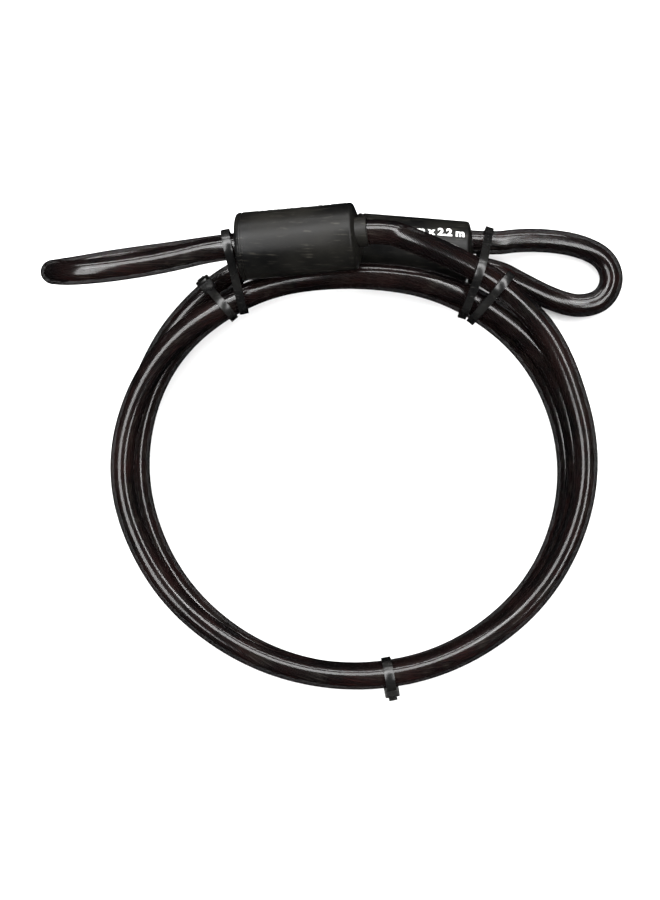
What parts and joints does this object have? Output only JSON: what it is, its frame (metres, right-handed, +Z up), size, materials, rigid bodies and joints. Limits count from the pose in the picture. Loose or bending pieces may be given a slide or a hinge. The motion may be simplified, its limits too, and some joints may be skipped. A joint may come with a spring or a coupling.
{
  "type": "cable lock",
  "caption": "Looped-end steel security cable in clear-smoked vinyl with moulded sleeves at both eyes, coiled and bundled with cable ties.",
  "frame": {"origin": "middle of the coiled lock's footprint, on the surface it lies on", "axes": "+X from the left eye to the right eye, +Y from the middle of the coil towards the two sleeves, +Z up out of the coil"},
  "size_m": [0.2456, 0.2073, 0.0639],
  "materials": {
    "vinyl": "gloss smoked vinyl",
    "steel_rope": "stranded wire",
    "ferrule": "pressed",
    "sleeve": "satin moulded",
    "tie": "nylon"
  },
  "bodies": {
    "root": {"left_eye_jacket": "vinyl", "first_lead_jacket": "vinyl", "first_turn_jacket": "vinyl", "second_turn_jacket": "vinyl", "third_turn_jacket": "vinyl", "last_lead_jacket": "vinyl", "right_eye_jacket": "vinyl", "wire_rope": "steel_rope", "left_ferrule": "ferrule", "right_ferrule": "ferrule", "left_sleeve": "sleeve", "right_sleeve": "sleeve", "left_eye_tie": "tie", "upper_left_tie": "tie", "right_eye_tie": "tie", "upper_right_tie": "tie", "bottom_tie": "tie"}
  },
  "joints": []
}
